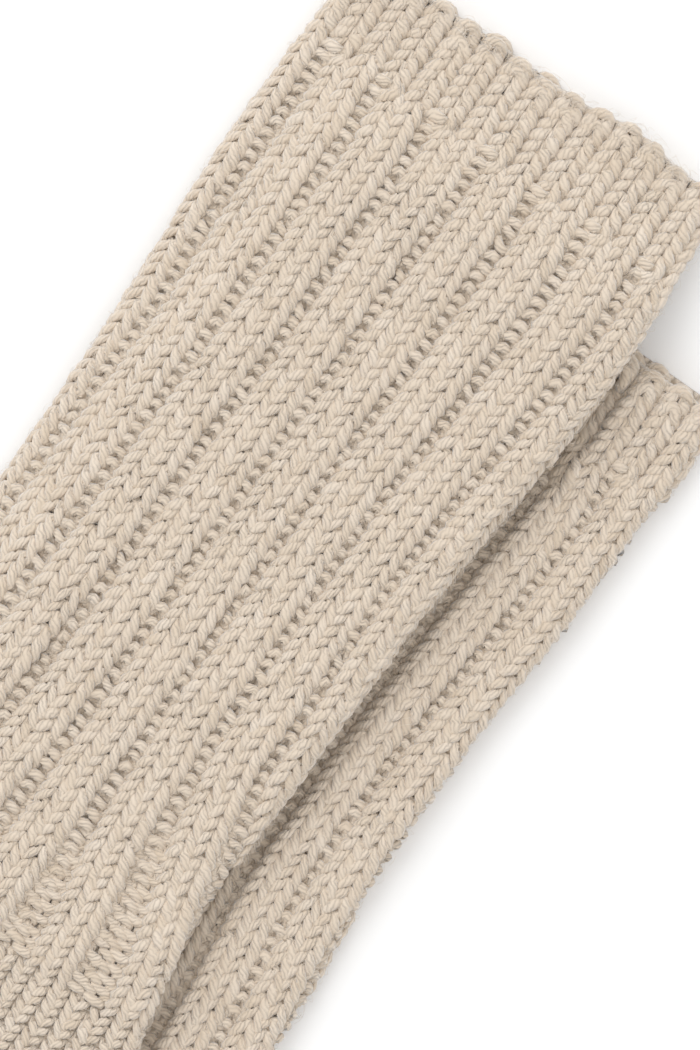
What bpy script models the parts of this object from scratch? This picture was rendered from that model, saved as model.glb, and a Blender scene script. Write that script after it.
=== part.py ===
"""Pair of hand-knitted wool socks, laid flat on a surface with one sock on the other.

Each sock is one open tube of knitted cloth, pressed flat so that its two layers
lie on each other. The frame has +Y along the legs towards the cuffs, +X towards
the heels and +Z up, and its origin lies under the middle of the pair.
"""
import math

import bmesh
import bpy
from mathutils import Vector

MM = 0.001                      # every size below is in millimetres

# Driving sizes of one sock
CUFF_LENGTH = 14.5              # narrow rib, one knit and one purl stitch
RIB_END = 145.0                 # the wide rib of the leg ends here
ANKLE = 150.0                   # the leg's last straight section
FOOT_START = 256.0              # the foot is straight from here on
TOE_START = 355.0
SOCK_END = 400.0
FOOT_ANGLE = math.radians(55)   # turn of the foot away from the leg's line
FOOT_TOP = (-65.0, -190.0)      # instep edge of the section at FOOT_START
FOOT_WIDTH = 90.0
TOE_POWER = 3.0                 # a higher power gives a blunter toe

# Cloth
LEG_THICKNESS = 4.4             # both layers of the leg, at the rib's troughs
FOOT_THICKNESS = 4.2
RIB_RISE = 1.4                  # crests of the leg's rib over its troughs
CUFF_RISE = 1.0
UNDER_WALL = 1.75
LAYER_GAP = 0.7                 # space between the two layers
MOUTH_OPENING = 0.5             # the layers part by this much more at the cuff
MOUTH_DEPTH = 12.0
BACK_LIP = 1.6                  # the back layer shows this far past the front
LIP_DEPTH = 8.0
RIM_ROUND = 0.45
RIBS_IN_FRONT = 8               # four stitches each, so 32 of the 64 stitches

# Placing of the pair
STEP_ASIDE = 16.4               # the lower sock lies this far right of the upper
STEP_DOWN = 25.7                # and its cuff this far down the leg
CLEARANCE = 0.5                 # wide enough to keep 0.3 between the ribs and what lies on them
SAG_REACH = 17.0                # run in which the upper sock sags to the surface
SAG_STRETCH = 0.68              # the sag is longer along the legs than across

# Edges of the flat leg, front view: distance from the cuff, left edge, right edge
UPPER_LEG = [
    (0, -31.4, 31.2),
    (8, -32.3, 32.1),
    (22, -32.9, 33.0),
    (38, -32.9, 33.0),
    (52, -32.3, 31.8),
    (68, -31.7, 30.4),
    (100, -31.4, 29.4),
    (116, -31.4, 28.9),
    (131, -31.9, 29.9),
    (141, -32.4, 31.1),
    (150, -33.0, 33.2),
]
LOWER_LEG = [
    (0, -31.4, 32.0),
    (10, -32.4, 33.0),
    (21, -32.7, 32.0),
    (38, -32.6, 31.7),
    (56, -32.0, 30.5),
    (81, -31.6, 30.5),
    (92, -31.4, 30.8),
    (107, -31.4, 32.2),
    (125, -31.8, 31.8),
    (141, -32.4, 32.0),
    (150, -33.0, 33.4),
]

# Fan of sections round the heel: distance along the sock, instep x and y, heel x and y
HEEL_FAN = [
    (163, -36.0, -157.0, 38.5, -168.0),
    (178, -38.8, -163.0, 43.8, -186.0),
    (194, -41.3, -168.0, 44.0, -205.0),
    (210, -44.3, -172.5, 36.5, -223.0),
    (226, -48.5, -177.0, 22.5, -236.5),
    (242, -55.0, -182.8, 5.5, -249.5),
]

# Where the ribs run: distance from the cuff, rib pitch, shift of their middle
UPPER_RIBS = [
    (0, 8.6, -1.0),
    (60, 8.6, -1.0),
    (112, 8.6, -0.7),
    (121, 9.5, -1.3),
    (130, 11.2, -3.0),
    (142, 12.8, -4.1),
    (152, 12.6, -3.4),
]
LOWER_RIBS = [
    (0, 8.6, -1.0),
    (21, 8.6, -1.0),
    (81, 8.3, -2.4),
    (104, 8.4, -2.3),
    (116, 8.8, -1.6),
    (130, 11.2, -3.0),
    (142, 12.8, -4.1),
    (152, 12.6, -3.4),
]

# Soft cross folds of the leg: distance from the cuff, half length, height
UPPER_FOLDS = [(97, 9, 0.5), (137, 10, 0.4)]
LOWER_FOLDS = [(74, 12, 0.4)]

# Sections of the outer and inner skins, as distances from the cuff
OUTER_SECTIONS = [
    0, 1.0, 4, 9, 13.5, 17.0, 24, 34, 46, 58, 70, 82, 90, 97, 104, 112, 121, 130, 138,
    143.5, 147.5, 155, 164, 173, 182, 191, 200, 209, 218, 228, 240, 256, 280, 305, 330,
    355, 363, 370, 377, 383, 388, 392, 395, 397.5, 399,
]
INNER_SECTIONS = [
    0, 6, 13, 26, 46, 70, 97, 121, 138, 150, 164, 182, 200, 218, 240, 256, 300, 340,
    360, 376, 386, 392,
]

# Heights at six places across one rib, from the middle of a trough to the next one
RIB_PLACES = (0.0, 0.15, 0.31, 0.5, 0.69, 0.85)
LEG_PROFILE = (0.0, 0.45, 1.0, 0.8, 1.0, 0.45)      # two knit columns, side by side
CUFF_PROFILE = (0.5, 1.0, 0.1, 0.4, 1.0, 0.1)       # two knit columns, apart
UNDER_POINTS = 12
INNER_POINTS = 20

CREAM = (0.610, 0.515, 0.420)
SHADED_CREAM = (0.570, 0.480, 0.390)


def ease(value):
    """Runs smoothly from 0 to 1."""
    value = min(1.0, max(0.0, value))
    return value * value * (3 - 2 * value)


def curve_row(rows, at):
    """Reads every column of a table at one distance, on a smooth curve through its rows."""
    last = len(rows) - 1
    if at <= rows[0][0]:
        return rows[0][1:]
    if at >= rows[last][0]:
        return rows[last][1:]
    index = max(i for i in range(last) if rows[i][0] <= at)
    before, start, end, after = (
        rows[max(0, index - 1)], rows[index], rows[index + 1], rows[min(last, index + 2)])
    span = end[0] - start[0]
    t = (at - start[0]) / span
    values = []
    for column in range(1, len(start)):
        slope_in = (end[column] - before[column]) / (end[0] - before[0]) * span
        slope_out = (after[column] - start[column]) / (after[0] - start[0]) * span
        values.append(
            start[column] * (2 * t**3 - 3 * t**2 + 1) + slope_in * (t**3 - 2 * t**2 + t)
            + end[column] * (3 * t**2 - 2 * t**3) + slope_out * (t**3 - t**2))
    return values


def foot_half_width(at):
    """Half the flat foot's width, closing to a blunt round toe."""
    if at <= TOE_START:
        return FOOT_WIDTH / 2 - 1.5 * ease((at - FOOT_START) / (TOE_START - FOOT_START))
    along = (at - TOE_START) / (SOCK_END - TOE_START)
    return (FOOT_WIDTH / 2 - 1.5) * (1 - along**TOE_POWER) ** 0.55


def rail_rows(leg):
    """Joins leg, heel and foot into one table of section ends."""
    rows = [(at, left, -at, right, -at) for at, left, right in leg]
    rows += HEEL_FAN
    along = Vector((-math.sin(FOOT_ANGLE), -math.cos(FOOT_ANGLE)))
    across = Vector((-along.y, along.x))
    middle = Vector(FOOT_TOP) + across * FOOT_WIDTH / 2
    for at in (256, 280, 305, 330, 355, 362, 370, 378, 384, 389, 393, 396, 397.5, 399):
        centre = middle + along * (at - FOOT_START)
        instep = centre - across * foot_half_width(at)
        sole = centre + across * foot_half_width(at)
        rows.append((at, instep.x, instep.y, sole.x, sole.y))
    return rows


def base_thickness(at):
    """Thickness of both layers together, without ribs."""
    leg_to_foot = ease((at - RIB_END) / 20)
    thickness = LEG_THICKNESS + (FOOT_THICKNESS - LEG_THICKNESS) * leg_to_foot
    thickness += MOUTH_OPENING * (1 - ease(at / MOUTH_DEPTH))
    if at > TOE_START:
        thickness *= 1 - 0.4 * ((at - TOE_START) / (SOCK_END - TOE_START)) ** 4
    return thickness


def rib_rise(at):
    """Height of the ribs over their troughs, and how far the cuff's pattern holds."""
    in_cuff = 1 - ease((at - CUFF_LENGTH + 1.0) / 3)
    rise = CUFF_RISE * in_cuff + RIB_RISE * (1 - in_cuff)
    return rise * (1 - ease((at - RIB_END + 2) / 4)), in_cuff


def rolled(arc, half_width, thickness):
    """Crowds the ribs that leave the front together at the folded edge."""
    flat = half_width - thickness / 2
    turn = math.pi * thickness / 2
    past = abs(arc) - flat
    if past <= 0:
        return arc
    return math.copysign(flat + turn * (1 - math.exp(-past / turn)), arc)


def stadium_point(arc, half_width, thickness):
    """Place and outward direction on a flat section, arc measured from its top middle."""
    radius = thickness / 2
    flat = half_width - radius
    turn = math.pi * radius
    loop = 4 * flat + 2 * turn
    arc = (arc + loop / 2) % loop - loop / 2
    side = 1 if arc >= 0 else -1
    run = abs(arc)
    if run <= flat:
        return side * run, thickness, 0.0, 1.0
    if run <= flat + turn:
        angle = (run - flat) / radius
        return (side * (flat + radius * math.sin(angle)), radius + radius * math.cos(angle),
                side * math.sin(angle), math.cos(angle))
    return side * (2 * flat + turn - run), 0.0, 0.0, -1.0


def stadium_loop(half_width, thickness):
    radius = thickness / 2
    return 4 * (half_width - radius) + 2 * math.pi * radius


class Sock:
    """One sock: where each point of its two skins lies."""

    def __init__(self, leg, ribs, folds, place):
        self.rails = rail_rows(leg)
        self.ribs = ribs
        self.folds = folds
        self.place = Vector(place)

    def ends(self, at):
        """Left and right ends of one section, on the surface."""
        left_x, left_y, right_x, right_y = curve_row(self.rails, at)
        return Vector((left_x, left_y)) + self.place, Vector((right_x, right_y)) + self.place

    def fold_height(self, at):
        return sum(height * (1 - ease(abs(at - middle) / half_length))
                   for middle, half_length, height in self.folds)

    def outer_ring(self, at):
        """Outer skin of one section, with its ribs raised above and at the folded edges."""
        left, right = self.ends(at)
        rise, in_cuff = rib_rise(at)
        thickness = base_thickness(at)
        half_width = (right - left).length / 2 - 0.85 * rise
        rim = RIM_ROUND if at == 0 else 0.0
        half_width -= rim
        thickness_inside_rim = thickness - 2 * rim
        loop = stadium_loop(half_width, thickness_inside_rim)
        pitch, shift = curve_row(self.ribs, at)
        in_foot = ease((at - ANKLE) / 30)
        pitch += (loop / (2 * RIBS_IN_FRONT) - pitch) * in_foot
        shift *= 1 - in_foot
        arcs = []
        heights = []
        for rib in range(RIBS_IN_FRONT):
            for place, leg_height, cuff_height in zip(RIB_PLACES, LEG_PROFILE, CUFF_PROFILE):
                arcs.append(shift + pitch * (rib - RIBS_IN_FRONT / 2 + place))
                heights.append(leg_height + (cuff_height - leg_height) * in_cuff)
        arcs.append(shift + pitch * RIBS_IN_FRONT / 2)
        heights.append(heights[0])
        arcs = [rolled(arc, half_width, thickness_inside_rim) for arc in arcs]
        rest = arcs[0] + loop - arcs[-1]
        for index in range(1, UNDER_POINTS + 1):
            share = 0.5 - 0.5 * math.cos(math.pi * index / (UNDER_POINTS + 1))
            arcs.append(arcs[6 * RIBS_IN_FRONT] + rest * share)
            heights.append(0.0)
        points = []
        for arc, height in zip(arcs, heights):
            across, up, out_across, out_up = stadium_point(arc, half_width, thickness_inside_rim)
            raised = height * rise * ease((up - 0.12 * thickness) / (0.5 * thickness))
            points.append((across + out_across * raised, up + rim + out_up * raised))
        return self.placed(at, left, right, points)

    def inner_ring(self, at):
        """Plain inner skin of one section."""
        left, right = self.ends(at)
        rise, _ = rib_rise(at)
        wall = UNDER_WALL * min(1.0, base_thickness(at) / FOOT_THICKNESS)
        gap = base_thickness(at) - 2 * wall - (LEG_THICKNESS - 2 * UNDER_WALL - LAYER_GAP)
        half_width = (right - left).length / 2 - 0.85 * rise - UNDER_WALL
        loop = stadium_loop(half_width, gap)
        points = []
        for index in range(INNER_POINTS):
            share = (index + 0.5) / INNER_POINTS
            across, up, _, _ = stadium_point(loop * (share - 0.5), half_width, gap)
            points.append((across, up + wall))
        return self.placed(at, left, right, points)

    def placed(self, at, left, right, points):
        """Puts section points in the pair's frame, with the back's lip, folds and sag."""
        middle = (left + right) / 2
        across_line = (right - left).normalized()
        thickness = base_thickness(at)
        ring = []
        for across, up in points:
            spot = middle + across_line * across
            spot.y += BACK_LIP * (1 - ease(at / LIP_DEPTH)) * (1 - ease(up / thickness))
            lifted = up + self.fold_height(at) * min(1.0, up / thickness)
            ring.append(Vector((spot.x, spot.y, lifted + self.support(spot))))
        return ring

    def support(self, spot):
        return 0.0

    def crest_height(self, at):
        rise, _ = rib_rise(at)
        return base_thickness(at) + rise + self.fold_height(at)

    def outline(self):
        """Edge of the sock on the surface, as a closed line."""
        stations = [3 * step for step in range(133)]
        pairs = [self.ends(at) for at in stations]
        return [left for left, _ in pairs] + [right for _, right in reversed(pairs)]


class RestingSock(Sock):
    """A sock that lies on another one and sags to the surface past its edge."""

    def __init__(self, leg, ribs, folds, place, below):
        super().__init__(leg, ribs, folds, place)
        self.below = below
        self.edge = [Vector((spot.x, spot.y * SAG_STRETCH)) for spot in below.outline()]

    def distance_past_edge(self, spot):
        spot = Vector((spot.x, spot.y * SAG_STRETCH))
        inside = False
        nearest = 1e9
        for start, end in zip(self.edge, self.edge[1:] + self.edge[:1]):
            if (start.y > spot.y) != (end.y > spot.y):
                crossing = start.x + (end.x - start.x) * (spot.y - start.y) / (end.y - start.y)
                if spot.x < crossing:
                    inside = not inside
            line = end - start
            share = (spot - start).dot(line) / max(line.length_squared, 1e-9)
            gap = (start + line * min(1.0, max(0.0, share)) - spot).length
            nearest = min(nearest, gap)
        return 0.0 if inside else nearest

    def support(self, spot):
        """Height of this sock's underside over the surface."""
        at = max(0.0, self.below.place.y - spot.y)
        lift = self.below.crest_height(min(at, RIB_END - 7)) + CLEARANCE
        foot_lift = FOOT_THICKNESS + CLEARANCE
        lift += (foot_lift - lift) * ease((at - RIB_END - 6) / 20)
        return lift * (1 - ease(self.distance_past_edge(spot) / SAG_REACH))


def bridge(mesh, ring, next_ring, inward):
    """Faces between two rings of equal length."""
    count = len(ring)
    for index in range(count):
        following = (index + 1) % count
        corners = [ring[index], ring[following], next_ring[following], next_ring[index]]
        mesh.faces.new(corners[::-1] if inward else corners)


def join_rims(mesh, outer, inner):
    """Faces of the rim between the long outer ring and the short inner one."""
    outer_step = inner_step = 0
    shift = min(range(len(inner)), key=lambda i: (inner[i].co - outer[0].co).length)
    while outer_step < len(outer) or inner_step < len(inner):
        here = outer[outer_step % len(outer)]
        there = inner[(inner_step + shift) % len(inner)]
        after_here = outer[(outer_step + 1) % len(outer)]
        after_there = inner[(inner_step + 1 + shift) % len(inner)]
        outer_turn = (after_here.co - there.co).length <= (after_there.co - here.co).length
        if inner_step == len(inner) or (outer_step < len(outer) and outer_turn):
            mesh.faces.new((after_here, here, there))
            outer_step += 1
        else:
            mesh.faces.new((here, there, after_there))
            inner_step += 1


def wool(name, colour):
    material = bpy.data.materials.new(name)
    material.use_nodes = True
    shader = material.node_tree.nodes["Principled BSDF"]
    shader.inputs["Base Color"].default_value = (*colour, 1.0)
    shader.inputs["Roughness"].default_value = 0.95
    shader.inputs["Metallic"].default_value = 0.0
    return material


def build_sock(name, sock, origin, colour, collection):
    """Lofts the outer skin to the toe and the inner skin back to the cuff."""
    mesh = bmesh.new()

    def add_ring(points):
        return [mesh.verts.new((point - origin) * MM) for point in points]

    outer = [add_ring(sock.outer_ring(at)) for at in OUTER_SECTIONS]
    inner = [add_ring(sock.inner_ring(at)) for at in INNER_SECTIONS]
    for ring, next_ring in zip(outer, outer[1:]):
        bridge(mesh, ring, next_ring, inward=False)
    for ring, next_ring in zip(inner, inner[1:]):
        bridge(mesh, ring, next_ring, inward=True)
    join_rims(mesh, outer[0], inner[0])
    mesh.faces.new(outer[-1])
    mesh.faces.new(inner[-1][::-1])
    bmesh.ops.triangulate(mesh, faces=mesh.faces[:])
    bmesh.ops.recalc_face_normals(mesh, faces=mesh.faces[:])
    data = bpy.data.meshes.new(name)
    mesh.to_mesh(data)
    mesh.free()
    data.shade_smooth()
    data.materials.append(wool(name + "_wool", colour))
    piece = bpy.data.objects.new(name, data)
    collection.objects.link(piece)
    return piece


def main():
    for old in list(bpy.data.objects):
        bpy.data.objects.remove(old, do_unlink=True)
    collection = bpy.data.collections.new("pair_of_wool_socks")
    bpy.context.scene.collection.children.link(collection)

    lower = Sock(LOWER_LEG, LOWER_RIBS, LOWER_FOLDS, (STEP_ASIDE, -STEP_DOWN))
    upper = RestingSock(UPPER_LEG, UPPER_RIBS, UPPER_FOLDS, (0, 0), below=lower)
    spots = [point for sock in (lower, upper) for at in OUTER_SECTIONS
             for point in sock.outer_ring(at)]
    origin = Vector((
        (min(p.x for p in spots) + max(p.x for p in spots)) / 2,
        (min(p.y for p in spots) + max(p.y for p in spots)) / 2,
        min(p.z for p in spots)))
    build_sock("lower_sock", lower, origin, SHADED_CREAM, collection)
    build_sock("upper_sock", upper, origin, CREAM, collection)


main()
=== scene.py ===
# A pair of ribbed wool socks laid flat, one on the other, knitted loop by loop from plied yarn.
import math

import bmesh
import bpy
import numpy as np
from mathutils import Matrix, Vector


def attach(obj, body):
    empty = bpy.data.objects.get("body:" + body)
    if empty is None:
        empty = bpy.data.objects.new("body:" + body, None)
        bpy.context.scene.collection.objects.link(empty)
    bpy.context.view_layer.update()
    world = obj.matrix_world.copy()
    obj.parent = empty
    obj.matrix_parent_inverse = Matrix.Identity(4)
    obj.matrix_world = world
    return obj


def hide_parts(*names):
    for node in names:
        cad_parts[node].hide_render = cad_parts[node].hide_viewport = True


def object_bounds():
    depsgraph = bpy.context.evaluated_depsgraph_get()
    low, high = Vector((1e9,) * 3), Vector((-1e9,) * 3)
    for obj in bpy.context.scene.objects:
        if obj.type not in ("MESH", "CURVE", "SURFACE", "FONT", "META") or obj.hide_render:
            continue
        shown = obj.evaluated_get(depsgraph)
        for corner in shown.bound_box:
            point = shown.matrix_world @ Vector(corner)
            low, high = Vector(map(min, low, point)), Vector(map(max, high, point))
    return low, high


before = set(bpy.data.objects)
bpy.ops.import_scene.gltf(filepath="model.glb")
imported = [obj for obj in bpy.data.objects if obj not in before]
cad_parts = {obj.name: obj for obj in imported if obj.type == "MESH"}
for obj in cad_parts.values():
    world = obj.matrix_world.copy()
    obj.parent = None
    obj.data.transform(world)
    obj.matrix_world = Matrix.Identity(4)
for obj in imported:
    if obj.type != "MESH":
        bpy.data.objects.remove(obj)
cadLow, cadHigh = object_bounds()
print("frame loaded", tuple(round(v, 4) for v in cadHigh - cadLow))

mm = 0.001   # sizes below are in millimetres

# One sock as it was cut and as it lies, the same sizes as its solid
sockCut = {
    "cuffLength": 14.5,
    "ribEnd": 145.0,
    "ankle": 150.0,
    "footStart": 256.0,
    "toeStart": 355.0,
    "sockEnd": 400.0,
    "footAngle": 55.0,
    "footTop": (-65.0, -190.0),
    "footWidth": 90.0,
    "footTaper": 1.5,        # lost from the foot's half width by the toe
    "toePower": 3.0,
    "toeRound": 0.55,
    "toeThinning": 0.4,
    "legThickness": 4.4,
    "footThickness": 4.2,
    "thicknessBlend": 20.0,
    "columnBlend": 30.0,     # past the ankle, the columns grow even over this length
    "ribs": 16,              # wide ribs all round
    "cuffRise": 1.0,
    "ribRise": 1.4,
    "foldRise": 0.85,        # share of a rib's rise at the folded edges
    "mouthOpening": 0.5,
    "mouthDepth": 12.0,
    "lipDepth": 8.0,
    "bulgeDepth": 16.0,
}

# How the two socks lie
pairLay = {
    "stepAside": 16.4,
    "stepDown": 25.7,
    "clearance": 0.5,
    "sagReach": 17.0,        # the upper sock meets the surface this far past the lower one's edge
    "sagStretch": 0.68,      # along the legs it falls over a longer way, by one over this
    "ribsHeld": 7.0,         # the lift keeps the ribs' height up to this far before they end
    "footLiftFrom": 6.0,
    "footLiftBlend": 20.0,
    "pressed": 1.3,          # how far the lower sock's yarn is pressed in beside the upper's edge
    "pressReach": 2.8,
    "hiddenPast": 4.0,       # no yarn lies further in than this under the upper sock
}

# Edges of each flat leg: distance from the cuff, left edge, right edge
legEdges = {
    "upper": [
        (0, -31.4, 31.2), (8, -32.3, 32.1), (22, -32.9, 33.0), (38, -32.9, 33.0),
        (52, -32.3, 31.8), (68, -31.7, 30.4), (100, -31.4, 29.4), (116, -31.4, 28.9),
        (131, -31.9, 29.9), (141, -32.4, 31.1), (150, -33.0, 33.2),
    ],
    "lower": [
        (0, -31.4, 32.0), (10, -32.4, 33.0), (21, -32.7, 32.0), (38, -32.6, 31.7),
        (56, -32.0, 30.5), (81, -31.6, 30.5), (92, -31.4, 30.8), (107, -31.4, 32.2),
        (125, -31.8, 31.8), (141, -32.4, 32.0), (150, -33.0, 33.4),
    ],
}

# Sections that fan round the heel: distance along the sock, instep x and y, heel x and y
heelFan = [
    (163, -36.0, -157.0, 38.5, -168.0),
    (178, -38.8, -163.0, 43.8, -186.0),
    (194, -41.3, -168.0, 44.0, -205.0),
    (210, -44.3, -172.5, 36.5, -223.0),
    (226, -48.5, -177.0, 22.5, -236.5),
    (242, -55.0, -182.8, 5.5, -249.5),
]

# Distances of the sections of the foot and the toe
footSections = (256, 280, 305, 330, 355, 362, 370, 378, 384, 389, 393, 396, 397.5, 399)

# Where the troughs between the ribs run: distance from the cuff, then the places of nine troughs
ribTroughs = {
    "upper": [
        (0, -37.4, -28.3, -19.2, -10.1, -1.0, 8.1, 17.2, 26.3, 35.4),
        (14, -37.4, -28.3, -19.2, -10.1, -1.0, 8.1, 17.2, 26.3, 35.4),
        (23, -37.1, -28.0, -18.6, -9.5, -0.9, 8.4, 17.7, 26.8, 35.9),
        (38, -37.3, -28.0, -18.5, -9.7, -0.9, 7.7, 17.0, 26.1, 35.0),
        (49, -36.3, -27.3, -18.2, -9.3, -0.6, 7.7, 16.8, 25.3, 34.0),
        (60, -35.3, -26.6, -18.1, -9.2, -0.6, 7.7, 16.0, 24.5, 32.9),
        (82, -35.4, -26.8, -18.3, -9.2, -0.6, 7.8, 16.0, 24.3, 32.6),
        (96, -35.7, -27.1, -18.5, -9.2, -0.4, 7.9, 16.4, 25.1, 33.6),
        (105, -36.3, -27.6, -18.7, -9.6, -0.4, 7.9, 16.4, 25.3, 34.0),
        (111, -36.9, -28.0, -19.0, -9.8, -0.4, 8.5, 17.0, 26.8, 35.9),
        (119, -38.1, -28.9, -19.4, -10.0, -0.9, 8.5, 17.8, 28.8, 38.4),
        (129, -42.3, -32.3, -22.1, -11.9, -1.6, 8.7, 19.6, 31.8, 42.8),
        (139, -43.9, -34.6, -24.6, -13.9, -2.6, 8.9, 21.2, 34.6, 47.0),
        (152, -44.6, -35.3, -25.3, -14.9, -3.4, 8.7, 21.3, 35.0, 47.5),
    ],
    "lower": [
        (0, -38.5, -29.7, -20.8, -12.0, -3.1, 5.7, 14.6, 23.5, 32.3),
        (10, -38.5, -29.7, -20.8, -12.0, -3.1, 5.7, 14.6, 23.5, 32.3),
        (14, -37.3, -28.5, -19.8, -11.3, -2.5, 6.2, 15.0, 23.7, 32.5),
        (23, -32.4, -24.1, -16.0, -7.8, 0.5, 8.6, 16.7, 24.6, 32.7),
        (34, -33.4, -25.1, -16.8, -8.5, -0.4, 7.9, 16.1, 24.4, 32.6),
        (42, -33.8, -25.5, -17.4, -9.1, -0.8, 7.5, 15.7, 24.0, 32.3),
        (56, -35.5, -27.1, -18.7, -10.4, -2.0, 6.3, 14.7, 23.1, 31.6),
        (70, -35.0, -26.7, -18.5, -10.4, -2.1, 6.0, 14.1, 22.2, 30.5),
        (79, -34.3, -26.1, -18.1, -10.1, -2.0, 6.0, 14.1, 22.0, 30.1),
        (93, -34.3, -26.1, -18.1, -10.1, -2.0, 6.0, 14.1, 22.2, 29.9),
        (103, -34.3, -26.0, -17.8, -9.7, -1.5, 6.6, 14.7, 22.8, 30.6),
        (113, -34.5, -26.3, -18.0, -9.7, -1.4, 6.9, 15.5, 23.8, 32.0),
        (130, -42.4, -32.5, -22.7, -13.0, -3.1, 6.6, 16.5, 26.5, 36.5),
        (142, -52.4, -40.7, -29.0, -17.3, -5.5, 6.0, 17.6, 29.3, 41.0),
        (152, -52.4, -40.7, -29.0, -17.3, -5.5, 6.0, 17.6, 29.3, 41.0),
    ],
}

# Soft folds across the leg: distance from the cuff, half length, height
crossFolds = {"upper": [(97, 9, 0.5), (137, 10, 0.4)], "lower": [(74, 12, 0.4)]}

# The mouth: how far the under layer shows past the upper one, and where the rim bulges out
mouth = {"upper": {"lip": 0.5, "bulges": [(15.5, 9.0, 1.7)]}, "lower": {"lip": 1.6, "bulges": []}}


# a smooth step from 0 to 1
def ease(value):
    value = np.clip(value, 0.0, 1.0)
    return value * value * (3 - 2 * value)


# reads every column of a table on a smooth curve through its rows
def smoothTable(rows, at):
    rows = np.array(rows, float)
    knots, values = rows[:, 0], rows[:, 1:]
    at = np.clip(at, knots[0], knots[-1])
    here = np.clip(np.searchsorted(knots, at, side="right") - 1, 0, len(knots) - 2)
    before = np.maximum(here - 1, 0)
    after = np.minimum(here + 2, len(knots) - 1)
    span = (knots[here + 1] - knots[here])[:, None]
    t = ((at - knots[here]) / span[:, 0])[:, None]
    slopeIn = (values[here + 1] - values[before]) / (knots[here + 1] - knots[before])[:, None] * span
    slopeOut = (values[after] - values[here]) / (knots[after] - knots[here])[:, None] * span
    return (values[here] * (2 * t**3 - 3 * t**2 + 1) + slopeIn * (t**3 - 2 * t**2 + t)
            + values[here + 1] * (3 * t**2 - 2 * t**3) + slopeOut * (t**3 - t**2))


# half the width of the foot, which closes in a blunt curve at the toe
def footHalfWidth(at):
    straight = sockCut["footWidth"] / 2 - sockCut["footTaper"] * ease(
        (at - sockCut["footStart"]) / (sockCut["toeStart"] - sockCut["footStart"]))
    along = (at - sockCut["toeStart"]) / (sockCut["sockEnd"] - sockCut["toeStart"])
    return straight * (1 - np.clip(along, 0, 1) ** sockCut["toePower"]) ** sockCut["toeRound"]


# leg, heel and foot as one table of section ends
def railRows(edges):
    rows = [(at, left, -at, right, -at) for at, left, right in edges] + list(heelFan)
    turn = math.radians(sockCut["footAngle"])
    along = np.array((-math.sin(turn), -math.cos(turn)))
    across = np.array((-along[1], along[0]))
    middle = np.array(sockCut["footTop"]) + across * sockCut["footWidth"] / 2
    for at in footSections:
        centre = middle + along * (at - sockCut["footStart"])
        instep = centre - across * footHalfWidth(at)
        sole = centre + across * footHalfWidth(at)
        rows.append((at, *instep, *sole))
    return rows


# both layers at the ribs' troughs, with the space between them
def baseThickness(at):
    thickness = sockCut["legThickness"] + (sockCut["footThickness"] - sockCut["legThickness"]) * ease(
        (at - sockCut["ribEnd"]) / sockCut["thicknessBlend"])
    thickness = thickness + sockCut["mouthOpening"] * (1 - ease(at / sockCut["mouthDepth"]))
    along = np.clip((at - sockCut["toeStart"]) / (sockCut["sockEnd"] - sockCut["toeStart"]), 0, 1)
    return thickness * (1 - sockCut["toeThinning"] * along**4)


# 1 in the cuff and 0 in the leg, for the ribs' rise and the yarn's radius
def cuffShare(at):
    return 1 - ease((at - sockCut["cuffLength"] + 1.0) / 3)


# the same for the places of the stitches, over more rows
def stitchCuffShare(at):
    return 1 - ease((at - sockCut["cuffLength"] + 2.5) / 5)


# height of the ribs' crests over their troughs
def ribRise(at):
    inCuff = cuffShare(at)
    rise = sockCut["cuffRise"] * inCuff + sockCut["ribRise"] * (1 - inCuff)
    return rise * (1 - ease((at - sockCut["ribEnd"] + 2) / 4))


# everything that changes along one sock, at every half millimetre
def laySock(name, place):
    stations = np.arange(0, 399.01, 0.5)
    rails = smoothTable(railRows(legEdges[name]), stations)
    rails[:, 0::2] += place[0]
    rails[:, 1::2] += place[1]
    troughs = smoothTable(ribTroughs[name], stations)
    width = np.hypot(rails[:, 2] - rails[:, 0], rails[:, 3] - rails[:, 1])
    rise = ribRise(stations)
    thickness = baseThickness(stations)
    half = width / 2 - sockCut["foldRise"] * rise
    loop = 4 * (half - thickness / 2) + math.pi * thickness
    # in the foot the columns are even, on both sides of the middle trough
    inFoot = ease((stations - sockCut["ankle"]) / sockCut["columnBlend"])[:, None]
    toeLoop = np.interp(sockCut["toeStart"], stations, loop)
    footPitch = np.where(stations < sockCut["toeStart"], loop, toeLoop) / sockCut["ribs"]
    footTroughs = ribTroughs[name][-1][5] + np.arange(-4, 5) * footPitch[:, None]
    troughs = troughs * (1 - inFoot) + footTroughs * inFoot
    folds = sum(height * (1 - ease(np.abs(stations - middle) / halfLength))
                for middle, halfLength, height in crossFolds[name])
    speedLeft = np.hypot(np.gradient(rails[:, 0], stations), np.gradient(rails[:, 1], stations))
    speedRight = np.hypot(np.gradient(rails[:, 2], stations), np.gradient(rails[:, 3], stations))
    return {
        "name": name, "place": place, "stations": stations, "rails": rails, "half": half,
        "thickness": thickness, "rise": rise, "folds": folds, "troughs": troughs,
        "speedLeft": speedLeft, "speedRight": speedRight, "sag": None, **mouth[name],
    }


# one of a sock's tables, read at any distance
def along(sock, key, at):
    return np.interp(at, sock["stations"], sock[key])


# place across a flat section and the way out of it, the arc counted from the top's middle
def stadium(arc, half, thickness):
    radius = thickness / 2
    flat = half - radius
    turn = math.pi * radius
    side = np.where(arc >= 0, 1.0, -1.0)
    run = np.abs(arc)
    angle = np.clip((run - flat) / radius, 0, math.pi)
    across = np.where(run <= flat, run, flat + radius * np.sin(angle))
    across = np.where(run > flat + turn, 2 * flat + turn - run, across)
    up = radius + radius * np.cos(angle)
    return side * across, up, side * np.sin(angle), np.cos(angle)


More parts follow.
